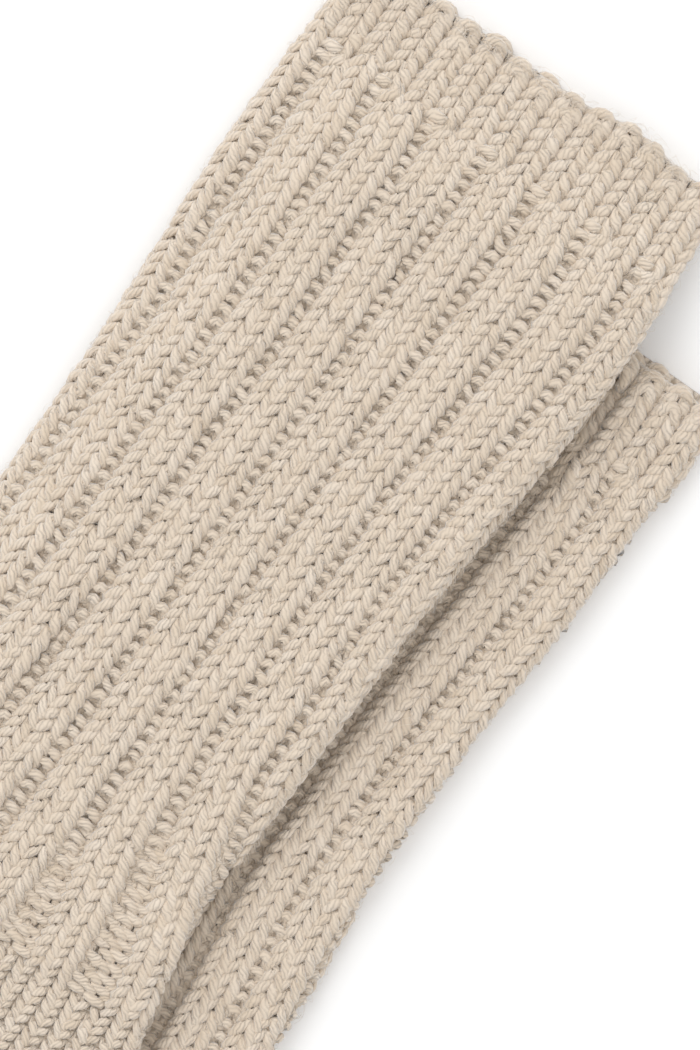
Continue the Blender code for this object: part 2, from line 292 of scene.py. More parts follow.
# how far the upper sock is lifted by the lower one, read from a map of the surface
def liftAt(sock, x, y):
    if sock["sag"] is None:
        return np.zeros_like(x)
    left, bottom, step, grid = sock["sag"]
    column = np.clip((x - left) / step, 0, grid.shape[1] - 1.001)
    row = np.clip((y - bottom) / step, 0, grid.shape[0] - 1.001)
    c, r = column.astype(int), row.astype(int)
    fc, fr = column - c, row - r
    return ((grid[r, c] * (1 - fc) + grid[r, c + 1] * fc) * (1 - fr)
            + (grid[r + 1, c] * (1 - fc) + grid[r + 1, c + 1] * fc) * fr)


# where the troughs lie, for each distance
def troughsAt(sock, at):
    return np.stack([np.interp(at, sock["stations"], sock["troughs"][:, i]) for i in range(9)], -1)


# place round the sock of a count of ribs, and the pitch there
def ribPlace(sock, at, count):
    at, count = np.broadcast_arrays(at, count)
    troughs = troughsAt(sock, at)
    slot = np.clip(np.floor(count).astype(int) + 4, 0, 7)[..., None]
    low = np.take_along_axis(troughs, slot, -1)[..., 0]
    pitch = np.take_along_axis(troughs, slot + 1, -1)[..., 0] - low
    return low + pitch * (count - slot[..., 0] + 4), pitch


# the count of ribs at a place round the sock
def ribCount(sock, at, arc):
    at, arc = np.broadcast_arrays(at, arc)
    troughs = troughsAt(sock, at)
    slot = (arc[..., None] >= troughs[..., 1:8]).sum(-1)[..., None]
    low = np.take_along_axis(troughs, slot, -1)[..., 0]
    pitch = np.take_along_axis(troughs, slot + 1, -1)[..., 0] - low
    return slot[..., 0] - 4 + (arc - low) / pitch, pitch


# a point of a flat section, put where the sock lies
def placed(sock, at, arc, across, up):
    lx, ly, rx, ry = (np.interp(at, sock["stations"], sock["rails"][:, i]) for i in range(4))
    length = np.hypot(rx - lx, ry - ly)
    lineX, lineY = (rx - lx) / length, (ry - ly) / length
    x = (lx + rx) / 2 + lineX * across
    y = (ly + ry) / 2 + lineY * across - np.minimum(at, 0)
    thickness = along(sock, "thickness", at)
    share = np.clip(up / thickness, 0, 1)
    y = y + sock["lip"] * (1 - ease(at / sockCut["lipDepth"])) * (1 - ease(share))
    for middle, halfLength, height in sock["bulges"]:
        bulge = height * (1 - ease(np.abs(arc - middle) / halfLength))
        y = y + bulge * (1 - ease(at / sockCut["bulgeDepth"])) * share
    z = up + along(sock, "folds", at) * share + liftAt(sock, x, y)
    return np.stack([x, y, z], -1), lineX, lineY


# place and outward direction of points given by distance, arc and height over the cloth
def onSock(sock, at, arc, out):
    across, up, outAcross, outUp = stadium(arc, along(sock, "half", at), along(sock, "thickness", at))
    points, lineX, lineY = placed(sock, at, arc, across + outAcross * out, up + outUp * out)
    return points, np.stack([outAcross * lineX, outAcross * lineY, outUp], -1)


# distance of points from a closed outline, and which of them lie inside it
def fromOutline(edge, spots):
    nearest, inside = np.full(len(spots), 1e9), np.zeros(len(spots), bool)
    for start, end in zip(edge, np.roll(edge, -1, 0)):
        line = end - start
        share = np.clip(((spots - start) @ line) / max(line @ line, 1e-9), 0, 1)
        gap = spots - start - share[:, None] * line
        nearest = np.minimum(nearest, np.hypot(gap[:, 0], gap[:, 1]))
        if start[1] != end[1]:
            crosses = (start[1] > spots[:, 1]) != (end[1] > spots[:, 1])
            crossing = start[0] + line[0] * (spots[:, 1] - start[1]) / line[1]
            inside ^= crosses & (spots[:, 0] < crossing)
    return nearest, inside


# a sock's outline as a closed line through every few of its sections
def outline(sock, every):
    rails = sock["rails"][::every]
    return np.concatenate([rails[:, :2], rails[::-1, 2:]])


# map of the lift: the lower sock's crests, falling to the surface past its edge
def sagMap(below):
    step = 1.5
    left, bottom, right, top = -185.0, -375.0, 85.0, 25.0
    x, y = np.meshgrid(np.arange(left, right, step), np.arange(bottom, top, step))
    stretch = pairLay["sagStretch"]
    spots = np.stack([x.ravel(), y.ravel() * stretch], -1)
    nearest, inside = fromOutline(outline(below, 4) * (1, stretch), spots)
    past = np.where(inside, 0, nearest)
    at = np.maximum(0, below["place"][1] - spots[:, 1] / stretch)
    held = np.minimum(at, sockCut["ribEnd"] - pairLay["ribsHeld"])
    lift = baseThickness(held) + ribRise(held) + along(below, "folds", held) + pairLay["clearance"]
    footLift = sockCut["footThickness"] + pairLay["clearance"]
    pastRibs = at - sockCut["ribEnd"] - pairLay["footLiftFrom"]
    lift += (footLift - lift) * ease(pastRibs / pairLay["footLiftBlend"])
    lift *= 1 - ease(past / pairLay["sagReach"])
    return left, bottom, step, lift.reshape(x.shape)


lower = laySock("lower", (pairLay["stepAside"], -pairLay["stepDown"]))
upper = laySock("upper", (0.0, 0.0))
upper["sag"] = sagMap(lower)

# the pair's own middle, found the same way for these shapes as for the solids
reach = []
for sock in (lower, upper):
    at = sock["stations"]
    fold = along(sock, "half", at) + (math.pi / 4 - 0.5) * along(sock, "thickness", at)
    crest = along(sock, "rise", at) * sockCut["foldRise"]
    for side in (-1, 1):
        reach.append(onSock(sock, at, side * fold, crest)[0])
    reach.append(onSock(sock, np.zeros(21), np.linspace(-30, 30, 21), 0.0)[0])
reach = np.concatenate(reach)
solidMiddle = [(cadLow[i] + cadHigh[i]) / 2 / mm for i in (0, 1)]
ownMiddle = [(reach[:, i].min() + reach[:, i].max()) / 2 for i in (0, 1)]
pairMiddle = np.array([ownMiddle[0] - solidMiddle[0], ownMiddle[1] - solidMiddle[1], 0.0])
print("socks laid out, middle", pairMiddle.round(2))


# a mesh from rings and polygons worked out in arrays
def fromArrays(name, points, polygons, uv):
    mesh = bpy.data.meshes.new(name)
    corners = np.concatenate([faces.ravel() for faces in polygons])
    sizes = np.concatenate([np.full(len(faces), faces.shape[1]) for faces in polygons])
    starts = np.concatenate([[0], np.cumsum(sizes)[:-1]])
    mesh.vertices.add(len(points))
    mesh.loops.add(len(corners))
    mesh.polygons.add(len(sizes))
    mesh.vertices.foreach_set("co", ((points - pairMiddle) * mm).astype(np.float32).ravel())
    mesh.loops.foreach_set("vertex_index", corners.astype(np.int32))
    mesh.polygons.foreach_set("loop_start", starts.astype(np.int32))
    mesh.polygons.foreach_set("loop_total", sizes.astype(np.int32))
    layer = mesh.uv_layers.new(name="yarn")
    layer.data.foreach_set("uv", uv.astype(np.float32).ravel())
    mesh.update(calc_edges=True)
    mesh.validate()
    mesh.shade_smooth()
    piece = bpy.data.objects.new(name, mesh)
    bpy.context.scene.collection.objects.link(piece)
    return piece


# The yarn and its stitches
yarnSize = {
    "radius": 0.78,
    "cuffRadius": 0.91,
    "plainRadius": 0.64,     # in the low plain rows where the ribs end
    "footRadius": 0.78,
    "flatten": 0.82,         # height of a strand over its width
    "sunk": 0.55,
    "uneven": 0.13,
    "lowest": 0.02,          # no yarn goes below this over the surface
    "rowHeight": 2.075,
    "footRow": 2.05,
    "footEnd": 395.5,
    "firstRow": 1.9,
    "rowOverlap": 1.02,
    "thinRow": 1.4,          # rows this low have the plain rows' radius
    "thinBlend": 0.5,
    "foldReach": 0.75,       # share of the way round a folded edge that has yarn
    "nearestRim": 0.9,       # no stitch comes nearer to the cuff's edge
    "knitWidth": 3.05,
    "leastPurl": 0.14,       # share of a repeat that a purl stitch keeps
    "openFrom": 1.7,         # purl stitches wider than this begin to show both sides of their loops
    "openBlend": 1.2,
    "rowShift": 37.7,        # each row starts elsewhere in the yarn's pattern
    "rowsApart": 91,
}

# Faces round a strand
strandSides = {"leg": 6, "foot": 4, "castOn": 8, "fibre": 3}

# Height of the rows, by distance from the cuff
rowPitch = [(0, 1.93), (25, 1.94), (39, 2.02), (53, 2.07), (68, 2.10), (82, 2.12), (96, 2.24), (111, 2.08),
            (125, 1.95), (139, 1.85), (145, 1.65), (149, 1.38), (160, 1.38), (170, 1.70)]

# Half a loop from the middle of its head to its foot: share of the stitch's width, rows
# along the knitting, height in millimetres
loopHalf = {
    "knit": [
        (0.00, 0.97, -0.50), (0.39, 0.78, -0.15), (0.50, 0.44, 0.42), (0.36, 0.06, 0.60),
        (0.20, -0.32, 0.48), (0.06, -0.64, -0.02), (0.50, -1.02, -0.55),
    ],
    "narrowPurl": [
        (0.00, 0.80, 0.10), (0.40, 0.62, 0.10), (0.42, 0.25, -0.10), (0.30, -0.05, -0.20),
        (0.08, -0.50, 0.25), (0.04, -0.79, 1.15), (0.50, -0.82, 1.45),
    ],
    "widePurl": [
        (0.00, 0.84, 0.80), (0.34, 0.74, 0.60), (0.42, 0.36, -0.05), (0.30, 0.00, -0.20),
        (0.20, -0.40, 0.05), (0.18, -0.80, 0.75), (0.50, -0.90, 0.95),
    ],
    "plain": [
        (0.00, 0.95, -0.50), (0.49, 0.44, 0.38), (0.28, -0.10, 0.60), (0.07, -0.60, 0.02),
        (0.50, -1.02, -0.55),
    ],
}

# The four stitches of one repeat: 1 is knit, 0 is purl
stitchKinds = {
    "cuff": (1, 0, 1, 0),
    "leg": (0, 1, 1, 0),
    "plain": (1, 1, 1, 1),
    "foot": (1, 1, 1, 1),
}
cuffSplit = np.array((-0.02, 0.40, 0.48, 0.90, 0.98))   # stitch edges in one repeat of the cuff
cuffKnits = (0.19, 0.69)                                # middles of its knit stitches

# The ribs' form in millimetres: half the crest's width, and the width of its side
ribForm = {"legCrest": 2.3, "legSide": 1.8, "cuffCrest": 1.1, "cuffSide": 1.2, "foldFade": 0.6}


# edges of the four stitches of a repeat, as shares of it
def stitchEdges(at, pitch):
    purl = np.maximum(0.5 - yarnSize["knitWidth"] / pitch, yarnSize["leastPurl"])
    purl = purl + (0.25 - purl) * ease((at - sockCut["ribEnd"] + 2) / 6)
    zero, half = np.zeros_like(at), np.full_like(at, 0.5)
    leg = np.stack([zero, purl, half, 1 - purl, zero + 1], -1)
    inCuff = stitchCuffShare(at)[..., None]
    return cuffSplit * inCuff + leg * (1 - inCuff)


# height of the cloth over its troughs, as a share of the rib's rise
def ribShare(phase, pitch, at):
    inCuff = stitchCuffShare(at)
    legOff = np.abs(phase - 0.5) * pitch
    leg = 1 - ease((legOff - ribForm["legCrest"]) / ribForm["legSide"])
    cuffOff = np.minimum(*(np.abs((phase - knit + 0.5) % 1.0 - 0.5) for knit in cuffKnits)) * pitch
    cuff = 1 - ease((cuffOff - ribForm["cuffCrest"]) / ribForm["cuffSide"])
    return leg * (1 - inCuff) + cuff * inCuff


# height of the cloth's ribs, which fade out round the folded edges
def clothHeight(sock, at, arc):
    half, thickness = along(sock, "half", at), along(sock, "thickness", at)
    count, pitch = ribCount(sock, at, arc)
    phase = count % 1.0
    upShare = np.clip(1 - (np.abs(arc) - half + thickness / 2) / (math.pi * thickness / 2), 0, 1)
    return along(sock, "rise", at) * ribShare(phase, pitch, at) * ease(upShare / ribForm["foldFade"])


# how far inside a sock's outline points lie, negative outside
def insideOutline(sock, x, y):
    spots = np.stack([x.ravel(), y.ravel()], -1)
    nearest, inside = fromOutline(outline(sock, 6), spots)
    return np.where(inside, nearest, -nearest).reshape(x.shape)


# one stitch from foot to foot, without its last point, which is the next stitch's first
def wholeLoop(half):
    half = np.array(half)
    return np.concatenate([half[::-1] * (-1, 1, 1), half[1:-1]])


# centre lines of rows of knitting: points, outward directions, radii, and a link to the next point
def knitRows(sock, rows, seed, under=None):
    random = np.random.default_rng(seed)
    inFoot = rows[-1]["kind"] == "foot"
    loops = ("plain", "plain", "plain") if inFoot else ("knit", "narrowPurl", "widePurl")
    knit, narrow, wide = (wholeLoop(loopHalf[name]) for name in loops)
    count = len(knit)
    units = np.arange(-8, 8)
    shape = (len(rows), len(units), 4, count)

    # one number of every row, shaped to go with the stitches' points
    def column(key, missing=0.0):
        return np.array([row.get(key, missing) for row in rows], float)[:, None, None, None]

    kinds = np.array([stitchKinds[row["kind"]] for row in rows])[:, None, :, None]
    kinds = np.broadcast_to(kinds, (len(rows), len(units), 4, 1))
    nextKinds = np.array([stitchKinds[row["next"]] for row in rows])[:, None, :, None]
    flatKinds = kinds.reshape(len(rows), -1)
    changesLeft = (np.roll(flatKinds, 1, 1) != flatKinds).reshape(kinds.shape)
    changesRight = (np.roll(flatKinds, -1, 1) != flatKinds).reshape(kinds.shape)
    unit = np.broadcast_to(units[None, :, None, None], shape)
    index = np.broadcast_to(np.arange(4)[None, None, :, None], shape)
    rowAt = column("at")
    guess, pitch = ribPlace(sock, rowAt, unit + (index + 0.5) / 4)
    # troughs that widen show both sides of their purl loops
    width = np.where(kinds == 1, yarnSize["knitWidth"], pitch / 2 - yarnSize["knitWidth"])
    opened = ease((width - yarnSize["openFrom"]) / yarnSize["openBlend"])
    purl = [narrow[:, i] * (1 - opened) + wide[:, i] * opened for i in range(3)]
    share, rise, depth = (np.where(kinds == 1, knit[:, i], purl[i]) for i in range(3))
    # the next row's stitch leaves a loop's head in front of the cloth or behind it
    head = np.abs(np.arange(count) - count // 2) <= 1
    depth = np.where(head, np.where(nextKinds == 1, knit[:, 2], purl[2]), depth)
    # where knit meets purl, the yarn passes halfway between their depths
    fadeLeft, fadeRight = np.zeros(count), np.zeros(count)
    fadeLeft[:2] = 1.0, 0.4
    fadeRight[-1:] = 0.4
    out = depth - depth[..., :1] * (changesLeft * fadeLeft + changesRight * fadeRight)
    # no two stitches of hand knitting are quite the same, and neighbours in a column go together
    wobble = random.normal(0, yarnSize["uneven"], (4, *shape[:3], 1))
    drift = random.normal(0, yarnSize["uneven"], (len(rows) + 4, len(units), 4, 1))
    drift = sum(drift[step:step + len(rows)] for step in range(5)) / 2
    halfWidth = along(sock, "half", rowAt)
    side = np.clip(guess / halfWidth / 2 + 0.5, 0, 1)
    speed = along(sock, "speedLeft", rowAt) * (1 - side) + along(sock, "speedRight", rowAt) * side
    height = column("tall") / np.maximum(speed, 0.25)
    centreAt = rowAt + column("bend") * ease((side - column("bendFrom")) / 0.2)
    at = centreAt + height * (rise * (1 + wobble[3] * 0.6) + wobble[0] * 0.5)
    at = np.maximum(at, yarnSize["nearestRim"])
    edges = stitchEdges(at, pitch)
    low = np.take_along_axis(edges, index[..., None], -1)[..., 0]
    high = np.take_along_axis(edges, index[..., None] + 1, -1)[..., 0]
    phase = (low + high) / 2 + (high - low) * share
    arc = ribPlace(sock, at, unit + phase)[0] + wobble[1] * (0.5 - np.abs(share)) + drift
    radius = column("radius") + (yarnSize["cuffRadius"] - column("radius")) * cuffShare(at)
    out = out + clothHeight(sock, at, arc) - radius - yarnSize["sunk"] + wobble[2] * 0.5
    turn = math.pi * along(sock, "thickness", rowAt) / 2
    limit = halfWidth - along(sock, "thickness", rowAt) / 2 + yarnSize["foldReach"] * turn
    keep = (np.abs(guess) < limit) & (side >= column("sideFrom", -1.0))
    points, normals = onSock(sock, at.ravel(), arc.ravel(), out.ravel())
    if under is not None:
        # the other sock's edge presses this one down, and hides what lies further in
        inside = insideOutline(under, points[:, 0], points[:, 1])
        points[:, 2] -= pairLay["pressed"] * ease(inside + pairLay["pressReach"])
        keep = keep & (inside.reshape(shape)[..., count // 2, None] < pairLay["hiddenPast"])
    keep = np.broadcast_to(keep, shape)
    radius = radius * (1 + 0.65 * random.normal(0, yarnSize["uneven"], (*shape[:3], 1)))
    link = keep.reshape(len(rows), -1).copy()
    link[:, :-1] &= link[:, 1:]
    link[:, -1] = False
    rowIndex = np.broadcast_to(np.arange(len(rows))[:, None, None, None], shape)
    chosen = keep.ravel()
    return (points[chosen], normals[chosen], np.broadcast_to(radius, shape).ravel()[chosen],
            link.ravel()[chosen], rowIndex.ravel()[chosen])


# strands with a path each: distance, arc and height for every point
def looseStrands(sock, at, arc, out, radius):
    points, normals = onSock(sock, at.ravel(), arc.ravel(), out.ravel())
    link = np.ones(at.shape, bool)
    link[:, -1] = False
    index = np.broadcast_to(np.arange(len(at))[:, None], at.shape)
    return points, normals, np.broadcast_to(radius, at.shape).ravel(), link.ravel(), index.ravel()


# several lots of strands as one
def joinStrands(strands):
    joined = [np.concatenate(parts) for parts in zip(*strands)]
    joined[4] = joined[4] + np.concatenate(
        [np.full(len(strand[4]), yarnSize["rowsApart"] * i) for i, strand in enumerate(strands)])
    return joined


# closed tubes round centre lines, with the length and the turn round the yarn as their UV map
def yarnTubes(name, strand, sides):
    points, normals, radius, link, rowIndex = strand
    following = np.minimum(np.arange(len(points)) + 1, len(points) - 1)
    fromBefore = np.concatenate([[False], link[:-1]])
    forward = np.where(link[:, None], points[following] - points, 0)
    backward = np.where(fromBefore[:, None], points - points[np.maximum(following - 2, 0)], 0)
    backward[-1] = points[-1] - points[-2]
    tangent = forward + backward
    tangent /= np.maximum(np.linalg.norm(tangent, axis=1), 1e-9)[:, None]
    side = np.cross(tangent, normals)
    side /= np.maximum(np.linalg.norm(side, axis=1), 1e-9)[:, None]
    lift = np.cross(side, tangent)
    angle = np.arange(sides) * 2 * math.pi / sides
    sideways = side[:, None, :] * np.cos(angle)[None, :, None]
    outwards = lift[:, None, :] * (yarnSize["flatten"] * np.sin(angle))[None, :, None]
    ring = points[:, None, :] + radius[:, None, None] * (sideways + outwards)
    ring[..., 2] = np.maximum(ring[..., 2], yarnSize["lowest"])
    length = np.where(link, np.linalg.norm(forward, axis=1), 0)
    run = np.concatenate([[0], np.cumsum(length)[:-1]]) + rowIndex * yarnSize["rowShift"]
    # walls between neighbouring rings, and a fan of faces over each end
    start = np.nonzero(link)[0]
    k = np.arange(sides)
    a, b = start[:, None] * sides + k, start[:, None] * sides + (k + 1) % sides
    walls = np.stack([a, a + sides, b + sides, b], -1).reshape(-1, 4)
    u0, u1 = run[start][:, None] + 0 * k, run[start + 1][:, None] + 0 * k
    v0 = np.broadcast_to(k / sides, u0.shape)
    v1 = v0 + 1 / sides
    uv = np.stack([u0, v0, u1, v0, u1, v1, u0, v1], -1).reshape(-1, 2)
    heads = np.nonzero(link & ~fromBefore)[0]
    tails = np.nonzero(~link & fromBefore)[0]
    fans = [(0, 1, 2)] if sides == 3 else [(0, step, step + 1, step + 2) for step in range(1, sides - 2, 2)]
    caps = np.concatenate([np.stack([heads * sides + i for i in fan], -1) for fan in fans]
                          + [np.stack([tails * sides + i for i in fan[::-1]], -1) for fan in fans])
    uv = np.concatenate([uv, np.zeros((caps.size, 2))])
    piece = fromArrays(name, ring.reshape(-1, 3), [walls, caps], uv)
    triangles = len(walls) * 2 + len(caps) * (caps.shape[1] - 2)
    print(name, triangles, "triangles")
    return piece


# rows of the cuff and the leg, and the low plain rows where the ribs end
def legRows(end):
    rows, at = [], yarnSize["firstRow"]
    places, heights = np.array(rowPitch).T
    while at < end:
        tall = float(np.interp(at, places, heights))
        kind = "cuff" if at < sockCut["cuffLength"] else "leg" if at < sockCut["ribEnd"] + 0.5 else "plain"
        full = float(ease((tall - yarnSize["thinRow"]) / yarnSize["thinBlend"]))
        radius = yarnSize["plainRadius"] + (yarnSize["radius"] - yarnSize["plainRadius"]) * full
        rows.append({"at": at, "kind": kind, "tall": tall * yarnSize["rowOverlap"], "radius": radius})
        at += tall
    return rows, at


# what the rows of the heel and the foot share
footRow = {"kind": "foot", "next": "foot", "tall": yarnSize["footRow"], "radius": yarnSize["footRadius"]}

# The sole side of a row has room for this many rows before a first and a second short row join in
shortRows = {"first": 1.5, "second": 2.4}


# rows of the heel: short rows join in between, first one and then two, as the sole side grows longer
def heelRows(sock, start, end):
    rows, at = [], start
    while at < end:
        left, right = along(sock, "speedLeft", at), along(sock, "speedRight", at)
        step = yarnSize["footRow"] / max(left, 0.3)
        rows.append({"at": at, **footRow})
        need = step * right / yarnSize["footRow"]
        if need > shortRows["first"]:
            firstIn = min(0.45, max(0.05, 0.5 * left / max(right - left, 0.01)))
            rows.append({"at": at + step / 2, "sideFrom": firstIn, **footRow})
            if need > shortRows["second"]:
                secondIn = min(0.85, max(0.3, 1.5 * left / max(right - left, 0.01)))
                # the first one makes room for it
                rows[-1].update(bend=-step / 6, bendFrom=secondIn - 0.1)
                rows.append({"at": at + step * 0.667, "sideFrom": secondIn, **footRow})
        at += step
    return rows, at


# The cast-on edge: one arch of yarn over another at the top of every knit column. Half a path
# each: shares of the half width, then millimetres from the cuff's edge and over the cloth
castOn = {
    "outer": [
        (-1.0, 4.0, -1.0), (-1.0, 2.2, -0.35), (-0.78, 0.95, 0.05), (-0.4, 0.45, 0.2), (0.0, 0.3, 0.22),
    ],
    "inner": [
        (-0.78, 5.0, -0.9), (-0.74, 3.7, 0.0), (-0.5, 2.55, 0.35), (-0.2, 2.05, 0.45), (0.0, 1.95, 0.48),
    ],
    "halfWidth": 1.75,
    "unevenAlong": 0.38,
    "unevenWidth": 0.09,
    "unevenRadius": 0.05,
    "sunk": 0.35,
}


# the arches of the upper layer's rim, or of the part of the under layer that shows past it
def castOnArches(sock, seed, back):
    random = np.random.default_rng(seed)
    strands = []
    half, thickness = along(sock, "half", 1.0), along(sock, "thickness", 1.0)
    flat, turn = half - thickness / 2, math.pi * thickness / 2
    columns = np.array([unit + knit for unit in range(-8, 9) for knit in cuffKnits])
    columns = ribPlace(sock, 1.0, columns)[0]
    columns = columns[np.abs(columns) < (flat if back else flat + 0.6 * turn)]
    for kind in (("outer",) if back else ("outer", "inner")):
        halfPath = np.array(castOn[kind])
        path = np.concatenate([halfPath, halfPath[-2::-1] * (-1, 1, 1)])
        jitter = random.normal(0, 1, (3, len(columns), 1))
        at = path[:, 1] + castOn["unevenAlong"] * jitter[0] + 0 * columns[:, None]
        uneven = 1 + castOn["unevenWidth"] * jitter[1]
        across = columns[:, None] + path[:, 0] * castOn["halfWidth"] * uneven
        if back:
            # the same place on the under layer
            arc = np.where(across >= 0, flat * 2 + turn - across, -flat * 2 - turn - across)
            out = np.full_like(arc, -1.0) - np.maximum(0, path[:, 2] * 0.3)
            at = at + 0.2
        else:
            arc = across
            ribs = clothHeight(sock, np.maximum(at, 0), arc)
            out = path[:, 2] + ribs - yarnSize["cuffRadius"] - castOn["sunk"]
        radius = yarnSize["cuffRadius"] * (0.95 + castOn["unevenRadius"] * jitter[2])
        strands.append(looseStrands(sock, at, arc, out + 0 * arc, radius))
    return joinStrands(strands)


# Stray fibres: how many on each leg, with a quarter of that on each foot, and how they lie
fibreLook = {
    "lower": 2000,
    "upper": 2600,
    "legEnd": 150.0,
    "footEnd": 396.0,
    "radius": 0.022,
    "steps": 5,              # points along a fibre
    "stride": (0.3, 0.8),    # millimetres from one point to the next
    "rise": (0.1, 0.9),
    "sunk": 0.4,
    "rimShare": 0.2,
    "foldShare": 0.45,
}


# stray fibres that stand off the yarn, many of them at the folded edges and the rim
def strayFibres(sock, count, fromAt, toAt, seed, under=None):
    random = np.random.default_rng(seed)
    steps = fibreLook["steps"]
    start = random.uniform(fromAt, toAt, count)
    atRim = random.random(count) < (fibreLook["rimShare"] if fromAt == 0 else 0.0)
    start = np.where(atRim, random.uniform(-0.3, 2.0, count), start)
    flat = along(sock, "half", start) - along(sock, "thickness", start) / 2
    arcStart = random.uniform(-1, 1, count) * (flat + 3.5)
    atFold = ~atRim & (random.random(count) < fibreLook["foldShare"])
    arcStart = np.where(atFold, np.sign(arcStart) * (flat + random.uniform(0.5, 5.5, count)), arcStart)
    heading = random.uniform(0, 2 * math.pi, (count, 1))
    heading = heading + np.cumsum(random.normal(0, 0.5, (count, steps)), 1)
    stride = random.uniform(*fibreLook["stride"], (count, 1))
    at = start[:, None] + np.cumsum(np.cos(heading) * stride, 1) * np.where(atRim, 0.6, 1.0)[:, None]
    arc = arcStart[:, None] + np.cumsum(np.sin(heading) * stride, 1) * np.where(atFold, 0.6, 1.0)[:, None]
    rise = np.sin(np.linspace(0.0, math.pi * 0.85, steps)) * random.uniform(*fibreLook["rise"], (count, 1))
    at = np.clip(at, -1.1, 398.0)
    out = clothHeight(sock, np.maximum(at, 0), arc) - fibreLook["sunk"] + rise
    if under is not None:
        spots = onSock(sock, start, arcStart, 0 * start)[0]
        seen = insideOutline(under, spots[:, 0], spots[:, 1]) < 1
        at, arc, out = at[seen], arc[seen], out[seen]
    radius = fibreLook["radius"] * random.uniform(0.6, 1.3, (len(at), 1))
    return looseStrands(sock, at, arc, out, radius)


# The cloth under the yarn: a closed wall that lies deeper than the strands
shellSize = {
    "sink": 1.25,
    "wall": 0.75,
    "gap": 0.5,              # least space inside the flat tube
    "outerPoints": 88,
    "innerPoints": 28,
    "lipBack": 1.2,          # the rim lies this far behind its yarn
    "wales": 14,             # columns of stitches from the middle to a folded edge
    "outerSections": np.concatenate([
        (0.3, 0.8, 1.6), np.arange(3, 256, 3.0), np.arange(256, 380, 4.0),
        (381, 385, 389, 392, 394.5, 396.5, 398)]),
    "innerSections": np.concatenate([(0.3, 0.8, 1.6), np.arange(3, 380, 6.0), (383, 388, 392)]),
}


# one loop of the wall, and each point's place across the sock in columns of stitches
def shellRing(sock, at, inner):
    half, thickness = along(sock, "half", at), along(sock, "thickness", at)
    if inner:
        wall = shellSize["wall"]
        gap = max(shellSize["gap"], thickness - shellSize["sink"] - 2 * wall)
        count = shellSize["innerPoints"]
        innerHalf = half - shellSize["sink"] - wall
        loop = 4 * (innerHalf - gap / 2) + math.pi * gap
        arc = loop * ((np.arange(count) + 0.5) / count - 0.5)
        across, up, _, _ = stadium(arc, innerHalf, gap)
        up = up + wall
    else:
        count = shellSize["outerPoints"]
        loop = 4 * (half - thickness / 2) + math.pi * thickness
        arc = loop * ((np.arange(count) + 0.5) / count - 0.5)
        across, up, outAcross, outUp = stadium(arc, half, thickness)
        sink = shellSize["sink"] * ease((up + 0.15 * thickness) / (0.7 * thickness))
        across = across - outAcross * sink
        up = up - outUp * sink * (outUp > 0)
    points = placed(sock, at, arc, across, up)[0]
    atLip = 1 - ease(at / sockCut["lipDepth"])
    points[:, 1] -= shellSize["lipBack"] * np.clip(up / thickness, 0, 1) * atLip
    return points, across / half * shellSize["wales"]


# an outer and an inner skin, joined at the mouth and closed at the toe
def buildShell(name, sock):
    shell = bmesh.new()
    weave = shell.verts.layers.float_vector.new("stitches")

    def addRing(at, inner):
        points, wale = shellRing(sock, at, inner)
        ring = []
        for point, count in zip((points - pairMiddle) * mm, wale):
            vert = shell.verts.new(point)
            vert[weave] = (count, at / yarnSize["rowHeight"], 0)
            ring.append(vert)
        return [shell.edges.new((ring[i], ring[(i + 1) % len(ring)])) for i in range(len(ring))]

    outer = [addRing(at, False) for at in shellSize["outerSections"]]
    inner = [addRing(at, True) for at in shellSize["innerSections"]]
    for rings in (outer, inner):
        for ring, nextRing in zip(rings, rings[1:]):
            bmesh.ops.bridge_loops(shell, edges=ring + nextRing)
    bmesh.ops.bridge_loops(shell, edges=outer[0] + inner[0])
    bmesh.ops.holes_fill(shell, edges=outer[-1] + inner[-1], sides=0)
    bmesh.ops.recalc_face_normals(shell, faces=shell.faces[:])
    mesh = bpy.data.meshes.new(name)
    shell.to_mesh(mesh)
    shell.free()
    mesh.shade_smooth()
    piece = bpy.data.objects.new(name, mesh)
    bpy.context.scene.collection.objects.link(piece)
    print(name, sum(len(face.vertices) - 2 for face in mesh.polygons), "triangles")
    return piece


# The wool's finishes
woolLook = {
    "cream": (0.708, 0.601, 0.485),
    "light": (0.747, 0.648, 0.54),
    "deep": (0.663, 0.551, 0.43),
    "plies": 6,              # ridges round the yarn
    "plyRun": 1.05,          # millimetres along the yarn from one ridge to the next
    "wander": 1.6,           # how far the ridges stray, in ridges
    "shade": (0.77, 1.09),   # painted shade in the grooves between the plies, up to a lighter tone on them
    "fibreShare": 0.45,      # what the fine fibres' own tone and the plies' painted shade add to the tone
    "plyShadeShare": 0.55,
    "teased": (0.38, 0.62, 0.5, 1.15),   # noise from and to, ridges' strength from and to
    "plyDepth": 0.0003,
}
# painted shade: the cloth's colours are darker than the yarn's, standing for the shade under and between
# the strands, darkest in its stitches' hollows
clothLook = {
    "shadedHollow": (0.51, 0.425, 0.33),
    "middle": (0.645, 0.55, 0.445),
    "crest": (0.72, 0.62, 0.515),
    "slant": 1.3,            # rise of a stitch's legs, in rows to half a column
    "stitchDepth": 0.0008,
}
fibreTones = {"dull": (0.72, 0.64, 0.55), "bright": (0.82, 0.76, 0.69)}


# a node with fixed numbers or links given by socket name
def addNode(tree, kind, settings=None, **inputs):
    made = tree.nodes.new(kind)
    for key, value in (settings or {}).items():
        setattr(made, key, value)
    for key, value in inputs.items():
        socket = made.inputs[int(key[2:])] if key.startswith("in") else made.inputs[key.replace("_", " ")]
        if isinstance(value, bpy.types.NodeSocket):
            tree.links.new(value, socket)
        else:
            socket.default_value = value
    return made


# a Math node's result
def maths(tree, operation, *values):
    inputs = {"in%d" % slot: value for slot, value in enumerate(values)}
    return addNode(tree, "ShaderNodeMath", {"operation": operation}, **inputs).outputs[0]


